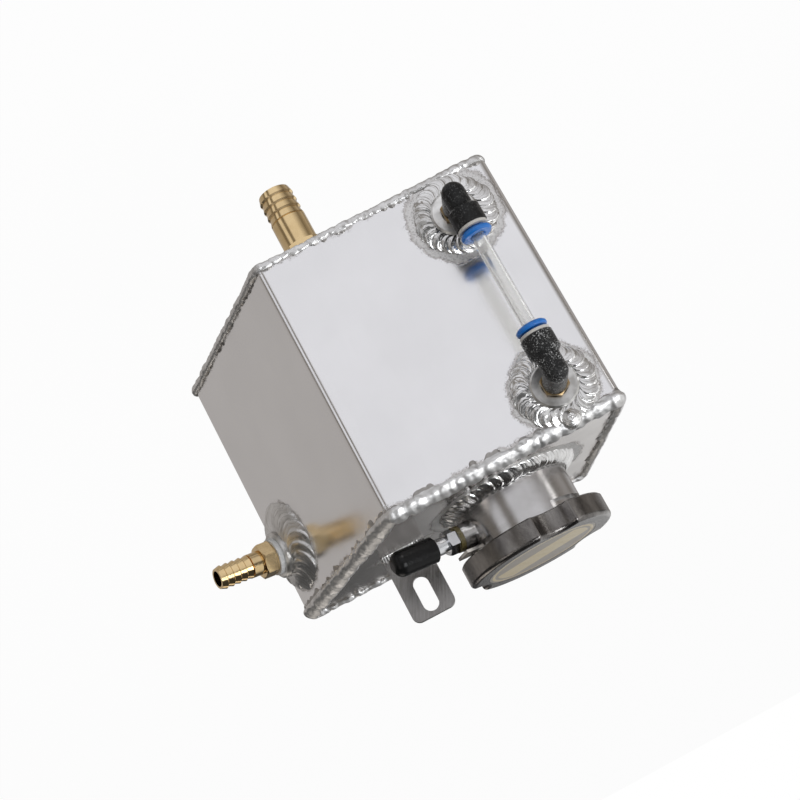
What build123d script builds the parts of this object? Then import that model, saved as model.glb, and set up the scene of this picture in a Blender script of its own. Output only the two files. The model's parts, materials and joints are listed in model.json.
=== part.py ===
from build123d import *
import math
import os

# Coolant expansion tank: a small welded aluminium header tank with a bayonet filler neck, a lobed
# pressure cap, a sight tube on the front, a large outlet below and a small hose inlet at the side.
# Lengths are millimetres. The build frame has the cap up (+Z), the sight tube at the front (-Y), and
# its zero at the lower left corner of the front face. Every solid is moved by ORIGIN_SHIFT when it
# is written, so that the part's own origin is the centre of the bracket slot.

# Tank shell
front_width = 106.0
depth = 104.0
height = 121.5
left_lean = 12.0
right_flare = 50.5
sheet = 2.5
inner_bend = 1.5
corner_land = 1.2
seam_gap = 1.0
fit_gap = 0.1

# Weld beads
edge_bead_radius = 2.2
edge_bead_sink = 1.3
seam_bead_width = 5.0
seam_bead_height = 1.6
ripple_count = 22
ripple_step = 0.78
ripple_sway = 0.06

# Sight gauge
gauge_x = 23.0
gauge_low = 19.7
gauge_drop = 17.8
gauge_bung_radius = 10.0
gauge_bung_proud = 3.5
gauge_bung_inside = 7.0
gauge_weld_width = 6.6
gauge_weld_height = 3.0
port_radius = 4.85
stud_reach = 9.5
stud_hex = 10.6
stud_hex_height = 2.5
stud_barrel_radius = 3.4
stud_barrel_length = 5.0
stud_bore = 2.0
tube_standoff = 21.4
leg_radius = 5.0
head_radius = 6.8
head_start = 7.2
head_edge = 1.1
leg_length = 17.2
tube_radius = 3.0
tube_bore = 2.0
tube_insert = 14.0
run_gap = 0.05

# Push-in mouth, measured inwards from the mouth of the elbow
mouth_ring_thickness = 1.2
mouth_ring_bore = 4.45
collet_flange_radius = 6.6
collet_flange_thickness = 2.2
collet_gap = 1.1
collet_sleeve_radius = 4.4
collet_bulge_radius = 4.7
collet_sleeve_length = 6.0
collet_travel = 1.0
claw_thickness = 0.5
claw_teeth = 8
oring_wire = 1.6
socket_radius = 4.8

# Filler neck
neck_x = 54.2
neck_y = 47.5
neck_radius = 25.2
neck_bore = 19.0
neck_throat = 14.5
neck_spigot_radius = 22.0
seat_height = 8.0
groove_low = 17.6
groove_high = 21.2
groove_radius = 22.6
flange_top = 24.0
rim_radius = 22.9
rim_top = 25.0
cam_rise = 0.9
notch_angle = 40.0
cam_angle = 34.0
stop_angle = 9.0
boss_radius = 5.8
boss_reach = 31.0
neck_weld_width = 6.5
neck_weld_height = 4.2

# Pressure cap, heights measured from the top plate
lobe_count = 3
lobe_radius = 33.0
scallop_radius = 11.0
scallop_floor = 27.9
scallop_angle = 17.0
scallop_round = 1.3
cap_low = 21.5
cap_top = 31.8
cap_cavity_radius = 26.9
cap_wall = 2.3
cap_edge_round = 2.0
face_radius = 25.0
face_recess = 0.5
plate_sheet = 1.2
dish_radius = 9.0
ear_angle = -24.0
cap_turn = 70.0
hook_span = 26.0
lip_span = 17.0
lip_drop = 1.0
lip_reach = 34.0
ear_inner = 25.4
hook_reach = 23.1
hook_gap = 0.2
gasket_thickness = 1.1
gasket_inner = 19.3
disc_thickness = 0.5
bell_sheet = 0.8
bell_radius = 15.0
bell_length = 11.0
bell_lip = 13.0
rivet_radius = 2.5
rivet_head = 4.3
rivet_head_height = 0.85
valve_disc_radius = 17.6
valve_sheet = 1.2
valve_gasket_thickness = 1.9
valve_gasket_inner = 4.5
valve_tube_radius = 12.7
valve_collar_radius = 14.0
valve_hole = 2.2
spring_wire = 0.9
spring_coil = 10.3
spring_turns = 4.0
poppet_radius = 10.2
poppet_thickness = 0.8
poppet_stem = 1.3
poppet_length = 7.0
small_wire = 0.35
small_coil = 2.9
small_turns = 4.0
button_radius = 3.6

# Overflow nipple, screwed into the side of the neck
nipple_angle = -22.0
nipple_height = 12.0
nipple_thread = 4.0
nipple_seal_radius = 5.6
nipple_seal_thickness = 2.0
nipple_hex = 9.5
nipple_hex_length = 4.7
nipple_collar_radius = 3.6
nipple_collar_length = 5.3
nipple_tube_radius = 3.0
nipple_tube_length = 18.0
nipple_bore = 1.7
nipple_cap_radius = 5.5
nipple_cap_start = 0.3
nipple_cap_length = 19.9

# Outlet in the bottom plate
outlet_x = 82.6
outlet_y = 32.0
outlet_bung_radius = 13.5
outlet_bung_proud = 5.0
outlet_bung_inside = 5.0
outlet_weld_width = 5.0
outlet_weld_height = 3.0
outlet_thread = 8.4
outlet_reach = 9.0
outlet_tape_thickness = 1.3
outlet_tape_radius = 9.2
outlet_hex = 19.0
outlet_hex_height = 5.0
outlet_barb_radius = 7.9
outlet_barb_length = 28.3
outlet_smooth = 13.3
outlet_ridges = 4
outlet_bore = 6.0

# Inlet in the right side face
side_along = 97.4
side_drop = 28.6
side_bung_radius = 10.5
side_bung_proud = 7.0
side_bung_inside = 5.0
side_weld_width = 9.6
side_weld_height = 3.8
side_weld_swell = 0.5
side_weld_toward = 190.0
side_thread = 6.4
side_reach = 11.0
side_hex = 14.0
side_hex_height = 6.5
side_barb_radius = 5.4
side_barb_length = 21.0
side_smooth = 5.0
side_ridges = 5
side_bore = 3.6
side_tape_thickness = 2.0
side_tape_radius = 8.3
ridge_depth = 0.8
relief_depth = 0.4
relief_length = 0.6

# Bracket tab
tab_x = 104.6
tab_y = 60.0
tab_width = 20.0
tab_height = 31.5
tab_thickness = 3.0
tab_corner = 3.5
slot_width = 7.0
slot_length = 16.0
slot_height = 21.5
tab_bead_width = 4.0
tab_bead_height = 3.0

outer_bend = inner_bend + sheet
gauge_high = height - gauge_drop
side_height = height - side_drop
ORIGIN_SHIFT = Vector(-tab_x, -(tab_y + tab_thickness / 2), -(height + slot_height))

# Working planes, each with its Z along the outward direction of the feature
side_length = math.hypot(right_flare, depth)
side_run = Vector(right_flare / side_length, depth / side_length, 0)
side_out = Vector(depth / side_length, -right_flare / side_length, 0)
side_point = Vector(front_width, 0, side_height) + side_run * side_along
nipple_out = Vector(math.cos(math.radians(nipple_angle)), math.sin(math.radians(nipple_angle)), 0)
neck_plane = Plane((neck_x, neck_y, height), x_dir=(1, 0, 0), z_dir=(0, 0, 1))
nipple_plane = Plane(
    Vector(neck_x, neck_y, height + nipple_height), x_dir=(0, 0, 1), z_dir=nipple_out
)
side_plane = Plane(side_point, x_dir=side_run, z_dir=side_out)
outlet_plane = Plane((outlet_x, outlet_y, 0), x_dir=(1, 0, 0), z_dir=(0, 0, -1))
low_plane = Plane((gauge_x, 0, gauge_low), x_dir=(0, 0, 1), z_dir=(0, -1, 0))
high_plane = Plane((gauge_x, 0, gauge_high), x_dir=(0, 0, -1), z_dir=(0, -1, 0))


def turned(*points):
    """A solid of revolution about Z from (radius, height) points."""
    return revolve(Plane.XZ * make_face(Polyline(*points, close=True)), Axis.Z)


def rod(radius, low, high):
    """A cylinder along Z from one height to another."""
    return Pos(0, 0, (low + high) / 2) * Cylinder(radius, high - low)


def ring(outer, inner, low, high):
    """A plain ring along Z."""
    return rod(outer, low, high) - rod(inner, low - 1, high + 1)


def hexagon(across_flats, low, high):
    """A hexagonal prism whose corners are turned off at both ends."""
    prism = extrude(
        RegularPolygon(across_flats / 2, 6, major_radius=False), high - low
    )
    corner = across_flats / math.sqrt(3)
    drop = (corner - across_flats / 2) * 0.6
    flat = across_flats / 2
    blank = turned(
        (0, low),
        (flat, low),
        (corner, low + drop),
        (corner, high - drop),
        (flat, high),
        (0, high),
    )
    return Pos(0, 0, low) * prism & blank


def plan_face(inset):
    """The tank's plan outline, moved inwards by inset, with its bent corners rounded."""
    corners = [(0, 0), (front_width, 0), (front_width + right_flare, depth), (left_lean, depth)]
    face = make_face(Polyline(*corners, close=True))
    if inset:
        face = offset(face, -inset, kind=Kind.INTERSECTION)
    return fillet(face.vertices(), max(outer_bend - inset, 0.3))


def prism(inset, low, high):
    """The plan outline extruded between two heights."""
    return Pos(0, 0, low) * extrude(plan_face(inset), high - low)


def ripple_bead(inner_radius, width, rise, swell=0.0, toward=0.0):
    """A round fillet weld on the plane z = 0, laid down as a ring of overlapping ripples.

    swell widens the bead towards one side, given as an angle from the plane's X.
    """
    turn = 360 / ripple_count
    low = inner_radius - 0.5

    def section(scale, angle):
        grown = scale * (1 + swell * math.cos(math.radians(angle - toward)))
        grown *= 1 + ripple_sway * math.sin(math.radians(5 * angle))
        reach, top = inner_radius + width * grown, rise * scale
        outline = [
            Line((low, 0), (reach, 0)),
            ThreePointArc((reach, 0), (inner_radius + width * grown * 0.6, top * 0.82), (low, top)),
            Line((low, top), (low, 0)),
        ]
        return Rot(0, 0, angle) * (Plane.XZ * make_face(outline))

    wedges = []
    for i in range(ripple_count):
        ends = [section(1.0, turn * i), section(ripple_step, turn * (i + 1))]
        wedges.append(loft(ends, ruled=True))
    bead = wedges[0].fuse(*wedges[1:])
    return bead - rod(inner_radius, -1, rise * 2)


def half_round(length, width, rise):
    """A straight weld bead along X on the plane z = 0, with domed ends."""
    outline = [
        Line((-width / 2, 0), (width / 2, 0)),
        ThreePointArc((width / 2, 0), (0, rise), (-width / 2, 0)),
    ]
    run = length / 2 - width / 2
    body = Pos(-run, 0, 0) * extrude(Plane.YZ * make_face(outline), 2 * run)
    quarter = [Line((0, 0), (width / 2, 0)), ThreePointArc((width / 2, 0), dome_mid(width, rise), (0, rise))]
    end = revolve(Plane.XZ * make_face(quarter + [Line((0, rise), (0, 0))]), Axis.Z)
    return body + Pos(run, 0, 0) * end + Pos(-run, 0, 0) * end


def dome_mid(width, rise):
    """The middle point of the arc from the edge of a domed bead to its crest."""
    half = width / 2
    radius = (half * half + rise * rise) / (2 * rise)
    angle = math.asin(half / radius) / 2
    return radius * math.sin(angle), rise - radius * (1 - math.cos(angle))


def edge_bead():
    """The weld that joins the top plate to the end of the folded wrap, all round its outline."""
    sink, radius = edge_bead_sink, edge_bead_radius
    reach = sink + math.sqrt(radius**2 - sink**2)
    crest = radius / math.sqrt(2) - sink
    outline = [
        ThreePointArc((-reach, 0), (crest, crest), (0, -reach)),
        Line((0, -reach), (0, -sheet)),
        Line((0, -sheet), (-corner_land, -sheet)),
        Line((-corner_land, -sheet), (-corner_land, 0)),
        Line((-corner_land, 0), (-reach, 0)),
    ]
    path = Pos(0, 0, height) * plan_face(0).face().outer_wire()
    plane = Plane((front_width / 2, 0, height), x_dir=(0, -1, 0), z_dir=(-1, 0, 0))
    return sweep(plane * make_face(outline), path)


def tank_shell():
    """The folded wrap with its seam at the rear, and the two plates that close it."""
    wrap = prism(0, sheet, height - sheet) - prism(sheet, sheet - 1, height)
    wrap -= Pos(seam_x(), depth, height / 2) * Box(seam_gap, 4 * sheet, height)
    hole = gauge_bung_radius + fit_gap
    for plane in (low_plane, high_plane):
        wrap -= plane * rod(hole, -2 * sheet, sheet)
    wrap -= side_plane * rod(side_bung_radius + fit_gap, -2 * sheet, sheet)
    top = prism(corner_land, height - sheet, height)
    top -= neck_plane * rod(neck_spigot_radius + fit_gap, -2 * sheet, sheet)
    bottom = prism(corner_land, 0, sheet)
    bottom -= outlet_plane * rod(outlet_bung_radius + fit_gap, -2 * sheet, sheet)
    return wrap, top, bottom


def seam_x():
    """The butt seam runs up the middle of the rear face."""
    return (left_lean + front_width + right_flare) / 2


def seam_weld():
    """The bead of the butt seam, with the root that fills the gap."""
    low = sheet + edge_bead_sink + edge_bead_radius
    length = height - 2 * low
    plane = Plane((seam_x(), depth, height / 2), x_dir=(0, 0, 1), z_dir=(0, 1, 0))
    root = Pos(seam_x(), depth - sheet / 2, height / 2) * Box(seam_gap, sheet, length)
    return plane * half_round(length, seam_bead_width, seam_bead_height) + root


def trim_at_edges(bead):
    """Cuts a bead on the front face back from the two long edge welds."""
    reach = edge_bead_sink + math.sqrt(edge_bead_radius**2 - edge_bead_sink**2)
    span = height - 2 * reach - 2 * fit_gap
    return bead & Pos(gauge_x, 0, height / 2) * Box(front_width, 4 * gauge_weld_height, span)


def elbow_stud():
    """The brass stud of an elbow: thread, hexagon and the barrel that the plastic turns on."""
    seat = gauge_bung_proud
    top = seat + stud_hex_height
    thread = rod(port_radius - run_gap, seat - stud_reach, seat)
    barrel = rod(stud_barrel_radius, top, top + stud_barrel_length)
    stud = thread + hexagon(stud_hex, seat, top) + barrel
    return stud - rod(stud_bore, seat - stud_reach - 1, tube_standoff)


def elbow_body():
    """The moulded elbow. Its own Z runs out of the tank and its X towards the other elbow."""
    start = gauge_bung_proud + stud_hex_height
    leg = rod(leg_radius, start, tube_standoff)
    knee = Pos(0, 0, tube_standoff) * Sphere(leg_radius)
    turn = Pos(0, 0, tube_standoff) * Rot(0, 90, 0)
    end = leg_length - mouth_ring_thickness
    head = rod(leg_radius, 0, head_start) + turned(
        (0, head_start - 1),
        (leg_radius, head_start - 0.4),
        (head_radius - head_edge, head_start),
        (head_radius, head_start + head_edge),
        (head_radius, end - 0.4),
        (head_radius - 0.4, end),
        (0, end),
    )
    passage = (
        rod(stud_bore, -stud_bore, leg_length)
        + rod(tube_radius + run_gap, leg_length - tube_insert, leg_length)
        + rod(socket_radius, oring_floor(), leg_length)
    )
    body = leg + knee + turn * head
    body -= rod(stud_barrel_radius + run_gap, start - 1, start + stud_barrel_length)
    body -= rod(stud_bore, start, tube_standoff)
    return body - turn * passage


def oring_floor():
    """The depth of the socket that holds the seal, the claw and the collet."""
    return leg_length - mouth_ring_thickness - collet_sleeve_length - claw_thickness - oring_wire


def push_in_parts():
    """What sits in an elbow's mouth, along Z from the elbow's own turning point."""
    floor = oring_floor()
    wire = oring_wire / 2
    bore = tube_radius + run_gap
    oring = Pos(0, 0, floor + wire) * Torus(bore + wire, wire)
    claw_low = floor + oring_wire + run_gap
    claw_top = claw_low + claw_thickness
    claw = ring(socket_radius - run_gap, bore, claw_low, claw_top)
    slit = Pos(bore, 0, claw_low) * Box(1.6, 0.5, 4 * claw_thickness)
    for i in range(claw_teeth):
        claw -= Rot(0, 0, 360 * i / claw_teeth) * slit
    stop = leg_length - mouth_ring_thickness
    mouth = ring(head_radius - 0.4, mouth_ring_bore, stop, leg_length)
    sleeve = claw_top + collet_travel + run_gap
    flange = leg_length + collet_gap
    end = flange + collet_flange_thickness
    collet = turned(
        (bore, sleeve),
        (collet_bulge_radius - 0.4, sleeve),
        (collet_bulge_radius, sleeve + 0.8),
        (collet_bulge_radius, stop - run_gap),
        (collet_sleeve_radius, stop - run_gap),
        (collet_sleeve_radius, flange),
        (collet_flange_radius - 0.5, flange),
        (collet_flange_radius, flange + 0.6),
        (collet_flange_radius, end - 0.7),
        (collet_flange_radius - 0.7, end),
        (bore + 0.5, end),
        (bore, end - 0.5),
    )
    return {"oring": oring, "claw": claw, "mouth_ring": mouth, "collet": collet}


def sight_tube():
    """The clear tube between the two elbows."""
    low = gauge_low + leg_length - tube_insert
    high = gauge_high - leg_length + tube_insert
    return Pos(gauge_x, -tube_standoff, 0) * ring(tube_radius, tube_bore, low, high)


def sector(inner, outer, low, high, middle, span):
    """A block of a ring between two radii and heights, over an angle."""
    steps = max(2, round(span / 12))
    angles = [math.radians(middle - span / 2 + span * i / steps) for i in range(steps + 1)]
    scale = 1 / math.cos(math.radians(span / steps / 2))
    points = [(outer * scale * math.cos(a), outer * scale * math.sin(a)) for a in angles]
    points += [(inner * 0.5 * math.cos(a), inner * 0.5 * math.sin(a)) for a in reversed(angles)]
    block = Pos(0, 0, low) * extrude(make_face(Polyline(*points, close=True)), high - low)
    return block & ring(outer, inner, low, high)


def cam_cut(start):
    """The rise of the flange's underside towards an entry notch, as a ruled loft to cut away."""
    sections = []
    count = 4
    for i in range(count + 1):
        top = groove_high + cam_rise * i / count + 0.001
        face = Plane.XZ * make_face(
            Polyline(
                (groove_radius - 0.4, groove_low + 1),
                (neck_radius + 2, groove_low + 1),
                (neck_radius + 2, top),
                (groove_radius - 0.4, top),
                close=True,
            )
        )
        sections.append(Rot(0, 0, start + cam_angle * i / count) * face)
    return loft(sections, ruled=True) - rod(groove_radius, groove_low, flange_top)


def filler_neck():
    """The turned neck: spigot, valve seat, two bayonet pockets under the flange, rim and side boss."""
    neck = turned(
        (neck_throat, -sheet),
        (neck_spigot_radius, -sheet),
        (neck_spigot_radius, 0),
        (neck_radius, 0),
        (neck_radius, flange_top - 0.6),
        (neck_radius - 0.6, flange_top),
        (rim_radius, flange_top),
        (rim_radius, rim_top - 0.5),
        (rim_radius - 0.5, rim_top),
        (neck_bore, rim_top),
        (neck_bore, seat_height),
        (neck_throat + 1, seat_height),
        (neck_throat, seat_height - 1),
    )
    outside = neck_radius + 1
    for side in (0, 180):
        stop = ear_angle + side - hook_span / 2 - stop_angle
        notch = ear_angle + side + cap_turn
        last = notch + notch_angle / 2
        neck -= sector(groove_radius, outside, groove_low, groove_high, (stop + last) / 2, last - stop)
        neck -= sector(groove_radius, outside, groove_high - 0.5, flange_top, notch, notch_angle)
        neck -= cam_cut(ear_angle + side + hook_span / 2)
    boss = nipple_plane * rod(boss_radius, groove_radius, boss_reach)
    port = nipple_plane * rod(nipple_thread + run_gap, 0, boss_reach + 1)
    return neck_plane * neck + boss - port


def cap_outline():
    """The lobed plan of the cap: a disc with finger scallops, its corners rounded."""
    disc = Circle(lobe_radius)
    centre = scallop_floor + scallop_radius
    for i in range(lobe_count):
        angle = scallop_angle + 360 * i / lobe_count
        disc -= Rot(0, 0, angle) * Pos(centre, 0) * Circle(scallop_radius)
    return fillet(disc.vertices(), scallop_round)


def cap_shell():
    """The cast knob: lobed skirt, rounded crown, a shallow recess for the face and the cavity."""
    body = Pos(0, 0, cap_low) * extrude(cap_outline(), cap_top - cap_low)
    crown = [e for e in body.edges() if abs(e.center().Z - cap_top) < 0.01]
    body = fillet(crown, cap_edge_round)
    skirt = [e for e in body.edges() if abs(e.center().Z - cap_low) < 0.01]
    body = chamfer(skirt, 0.6)
    body -= rod(cap_cavity_radius, cap_low - 1, cap_top - cap_wall)
    body -= rod(face_radius, cap_top - face_recess, cap_top + 1)
    return body


def plate_level():
    """The top of the locking plate, which is the ceiling of the cap's cavity."""
    return cap_top - cap_wall


def locking_plate():
    """The pressed plate of the bayonet: a dished disc and two ears with hooks and finger lips."""
    top = plate_level()
    low = dish_top()
    edge = ear_inner + plate_sheet
    plate = turned(
        (rivet_radius + run_gap, low - plate_sheet),
        (dish_radius, low - plate_sheet),
        (dish_radius + 2, top - plate_sheet),
        (edge, top - plate_sheet),
        (edge, top),
        (dish_radius + 1.5, top),
        (dish_radius - 0.5, low),
        (rivet_radius + run_gap, low),
    )
    hook = groove_high - hook_gap
    lip = hook - lip_drop
    for side in (0, 180):
        angle = ear_angle + side
        plate += sector(ear_inner, edge, lip - plate_sheet, top - plate_sheet, angle, hook_span)
        plate += sector(hook_reach, edge, hook - plate_sheet, hook, angle, hook_span)
        plate += sector(ear_inner, lip_reach, lip - plate_sheet, lip, angle, lip_span)
    return plate


def dish_top():
    """The top of the dish in the locking plate, where the rivet's head rests."""
    return disc_level() + disc_thickness + plate_sheet


def disc_level():
    """The underside of the spring disc, on top of the rim gasket."""
    return rim_top + run_gap + gasket_thickness


def cap_inner_parts():
    """The gasket, spring disc, bell and rivet that hang under the locking plate."""
    disc_low = disc_level()
    bell_top = disc_low
    lip = bell_top - bell_length
    gasket = ring(rim_radius - 0.4, gasket_inner, rim_top + run_gap, disc_low)
    disc = ring(rim_radius - 0.2, rivet_radius + run_gap, disc_low, disc_low + disc_thickness)
    bell = turned(
        (rivet_radius + run_gap, bell_top - bell_sheet),
        (bell_radius - bell_sheet, bell_top - bell_sheet),
        (bell_radius - bell_sheet, lip + bell_sheet),
        (bell_lip, lip + bell_sheet),
        (bell_lip, lip),
        (bell_radius, lip),
        (bell_radius, bell_top),
        (rivet_radius + run_gap, bell_top),
    )
    head = rivet_head_height
    foot = bell_top - bell_sheet - head
    rivet = (
        rod(rivet_head, dish_top(), dish_top() + head)
        + rod(rivet_radius, foot, dish_top() + head)
        + rod(rivet_head, foot, foot + head)
    )
    return {"cap_gasket": gasket, "cap_spring_disc": disc, "cap_bell": bell, "cap_rivet": rivet}


def valve_level():
    """The underside of the pressure valve's disc, on top of its gasket."""
    return seat_height + run_gap + valve_gasket_thickness


def valve_parts():
    """The pressure valve with its gasket, and the vacuum valve that opens through it."""
    low = valve_level()
    top = low + valve_sheet
    lip_top = disc_level() - bell_length + bell_sheet
    collar = lip_top + 0.6
    valve = turned(
        (valve_hole, low),
        (valve_disc_radius, low),
        (valve_disc_radius, top),
        (valve_tube_radius, top),
        (valve_tube_radius, collar),
        (valve_collar_radius, collar),
        (valve_collar_radius, collar + 0.8),
        (valve_tube_radius - 0.8, collar + 0.8),
        (valve_tube_radius - 0.8, top),
        (valve_hole, top),
    )
    seat = seat_height + run_gap
    gasket = ring(neck_bore - 0.8, valve_gasket_inner, seat, low)
    head = seat - run_gap
    stem_top = top + poppet_length
    poppet = (
        rod(poppet_radius, head - poppet_thickness, head)
        + rod(poppet_stem, head - poppet_thickness, stem_top)
        + rod(button_radius, stem_top - 0.8, stem_top)
    )
    return {"pressure_valve": valve, "valve_gasket": gasket, "vacuum_valve": poppet}


def coil_spring(wire, coil, turns, low, high):
    """A round-wire compression spring between two heights."""
    rise = high - low - 2 * wire
    path = Helix(pitch=rise / turns, height=rise, radius=coil)
    profile = Plane(path @ 0, z_dir=path % 0) * Circle(wire)
    return Pos(0, 0, low + wire) * sweep(profile, path, is_frenet=True)


def springs():
    """The pressure spring inside the bell, and the light spring of the vacuum valve."""
    seat = valve_level() + valve_sheet + 0.02
    roof = disc_level() - bell_sheet - 0.02
    button = seat + poppet_length - 0.84
    return {
        "pressure_spring": coil_spring(spring_wire, spring_coil, spring_turns, seat, roof),
        "vacuum_spring": coil_spring(small_wire, small_coil, small_turns, seat, button),
    }


def nipple_parts():
    """The overflow nipple with its seal and its push-on rubber cap, along the nipple's axis."""
    face = boss_reach + nipple_seal_thickness
    hex_end = face + nipple_hex_length
    collar_end = hex_end + nipple_collar_length
    end = collar_end + nipple_tube_length
    tube = turned(
        (0, collar_end - 1),
        (nipple_tube_radius, collar_end - 1),
        (nipple_tube_radius, end - 1),
        (nipple_tube_radius - 1, end),
        (0, end),
    )
    nipple = rod(nipple_thread, neck_bore + 0.6, face) + hexagon(nipple_hex, face, hex_end)
    nipple += rod(nipple_collar_radius, hex_end, collar_end) + tube
    nipple -= rod(nipple_bore, 0, end + 5)
    seal = ring(nipple_seal_radius, nipple_thread + run_gap, boss_reach, face)
    start = collar_end + nipple_cap_start
    stop = start + nipple_cap_length
    cap = rod(nipple_cap_radius, start, stop)
    cap = fillet(cap.edges().group_by(Axis.Z)[-1], nipple_cap_radius * 0.75)
    cap = chamfer(cap.edges().group_by(Axis.Z)[0], 0.5)
    cap -= rod(nipple_tube_radius + run_gap, start - 1, end + 0.4)
    return {"overflow_nipple": nipple, "nipple_seal": seal, "nipple_cap": cap}


def bung(radius, inside, proud, bore):
    """A plain turned boss with a threaded hole and broken edges."""
    edge = 0.8
    return turned(
        (bore, -inside),
        (radius, -inside),
        (radius, proud - edge),
        (radius - edge, proud),
        (bore + edge, proud),
        (bore, proud - edge),
    )


def barb_profile(start, length, smooth, radius, ridges, bore):
    """The turned points of a hose barb: a relief groove, a smooth stretch, then rising ridges."""
    low = start + smooth
    pitch = (length - smooth) / ridges
    root = radius - relief_depth
    points = [
        (bore, start),
        (root, start),
        (root, start + relief_length - relief_depth / 2),
        (radius, start + relief_length),
        (radius, low - 0.01),
    ]
    for i in range(ridges):
        base = low + pitch * i
        points += [
            (radius - ridge_depth, base),
            (radius, base + pitch * 0.2),
            (radius - ridge_depth, base + pitch - 0.02),
        ]
    points.append((bore, start + length))
    return points


def barb_fitting(bung_proud, thread, reach, tape_size, hexa, hex_height, bore, barb):
    """A brass hose fitting: thread in the bung, hexagon and barb, with its ring of thread tape."""
    tape_thickness, tape_radius = tape_size
    face = bung_proud + tape_thickness
    hex_end = face + hex_height
    fitting = rod(thread - run_gap, bung_proud - reach, face) + hexagon(hexa, face, hex_end)
    profile = barb_profile(hex_end, *barb, bore)
    fitting += turned(*profile)
    tape = ring(tape_radius, thread, bung_proud, face)
    return fitting - rod(bore, bung_proud - reach - 1, profile[-1][1] + 1), tape


def bracket_tab():
    """The flat tab that stands on the top plate, with its slot upright."""
    plate = Pos(tab_x, tab_y + tab_thickness / 2, height + tab_height / 2) * Box(
        tab_width, tab_thickness, tab_height
    )
    upper = [e for e in plate.edges().filter_by(Axis.Y) if e.center().Z > height + tab_height / 2]
    plate = fillet(upper, tab_corner)
    plane = Plane((tab_x, tab_y - 1, height + slot_height), x_dir=(0, 0, 1), z_dir=(0, 1, 0))
    slot = extrude(SlotOverall(slot_length, slot_width), tab_thickness + 2)
    return plate - plane * slot


def tab_weld():
    """The two fillet beads at the foot of the tab, one in front and one behind."""
    beads = {}
    for side in (-1, 1):
        wall = tab_y if side < 0 else tab_y + tab_thickness
        outline = [
            Line((0, 0), (tab_bead_width, 0)),
            ThreePointArc(
                (tab_bead_width, 0), (tab_bead_width * 0.45, tab_bead_height * 0.62), (0, tab_bead_height)
            ),
            Line((0, tab_bead_height), (0, 0)),
        ]
        plane = Plane((tab_x - side * tab_width / 2, wall, height), x_dir=(0, side, 0), z_dir=(side, 0, 0))
        name = "front" if side < 0 else "rear"
        beads[f"tab_weld_{name}"] = plane * extrude(make_face(outline), tab_width)
    return beads


def build():
    """Every node of the tank by name."""
    wrap, top, bottom = tank_shell()
    nodes = {"tank_wrap": wrap, "top_plate": top, "bottom_plate": bottom}
    nodes["top_edge_weld"] = edge_bead()
    nodes["bottom_edge_weld"] = mirror(edge_bead(), Plane.XY.offset(height / 2))
    nodes["wrap_seam_weld"] = seam_weld()
    nodes["filler_neck"] = filler_neck()
    nodes["neck_weld"] = neck_plane * ripple_bead(neck_radius, neck_weld_width, neck_weld_height)
    gauge_weld = ripple_bead(gauge_bung_radius, gauge_weld_width, gauge_weld_height)
    mouth = push_in_parts()
    for name, plane in (("lower", low_plane), ("upper", high_plane)):
        nodes[f"gauge_bung_{name}"] = plane * bung(
            gauge_bung_radius, gauge_bung_inside, gauge_bung_proud, port_radius
        )
        nodes[f"gauge_weld_{name}"] = trim_at_edges(plane * gauge_weld)
        nodes[f"elbow_stud_{name}"] = plane * elbow_stud()
        nodes[f"elbow_body_{name}"] = plane * elbow_body()
        turn = plane * (Pos(0, 0, tube_standoff) * Rot(0, 90, 0))
        for part, shape in mouth.items():
            nodes[f"elbow_{part}_{name}"] = turn * shape
    nodes["sight_tube"] = sight_tube()
    nodes["cap_shell"] = neck_plane * cap_shell()
    nodes["cap_face"] = neck_plane * rod(face_radius - fit_gap, cap_top - face_recess, cap_top - 0.1)
    nodes["cap_locking_plate"] = neck_plane * locking_plate()
    for parts in (cap_inner_parts(), valve_parts(), springs()):
        for name, shape in parts.items():
            nodes[name] = neck_plane * shape
    for name, shape in nipple_parts().items():
        nodes[name] = nipple_plane * shape
    nodes["outlet_bung"] = outlet_plane * bung(
        outlet_bung_radius, outlet_bung_inside, outlet_bung_proud, outlet_thread
    )
    nodes["outlet_bung_weld"] = outlet_plane * ripple_bead(
        outlet_bung_radius, outlet_weld_width, outlet_weld_height
    )
    barb = (outlet_barb_length, outlet_smooth, outlet_barb_radius, outlet_ridges)
    tape_size = (outlet_tape_thickness, outlet_tape_radius)
    fitting, tape = barb_fitting(
        outlet_bung_proud, outlet_thread, outlet_reach, tape_size, outlet_hex, outlet_hex_height, outlet_bore, barb
    )
    nodes["outlet_barb"], nodes["outlet_thread_tape"] = outlet_plane * fitting, outlet_plane * tape
    nodes["side_bung"] = side_plane * bung(side_bung_radius, side_bung_inside, side_bung_proud, side_thread)
    nodes["side_bung_weld"] = side_plane * ripple_bead(
        side_bung_radius, side_weld_width, side_weld_height, side_weld_swell, side_weld_toward
    )
    barb = (side_barb_length, side_smooth, side_barb_radius, side_ridges)
    tape_size = (side_tape_thickness, side_tape_radius)
    fitting, tape = barb_fitting(
        side_bung_proud, side_thread, side_reach, tape_size, side_hex, side_hex_height, side_bore, barb
    )
    nodes["side_barb"], nodes["side_thread_tape"] = side_plane * fitting, side_plane * tape
    nodes["bracket_tab"] = bracket_tab()
    nodes.update(tab_weld())
    return nodes


os.makedirs("parts", exist_ok=True)
for node, shape in build().items():
    placed = Pos(ORIGIN_SHIFT) * shape
    export_step(placed, f"parts/{node}.step")
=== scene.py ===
import json
import math
import random

import bpy
from mathutils import Matrix, Vector


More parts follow.
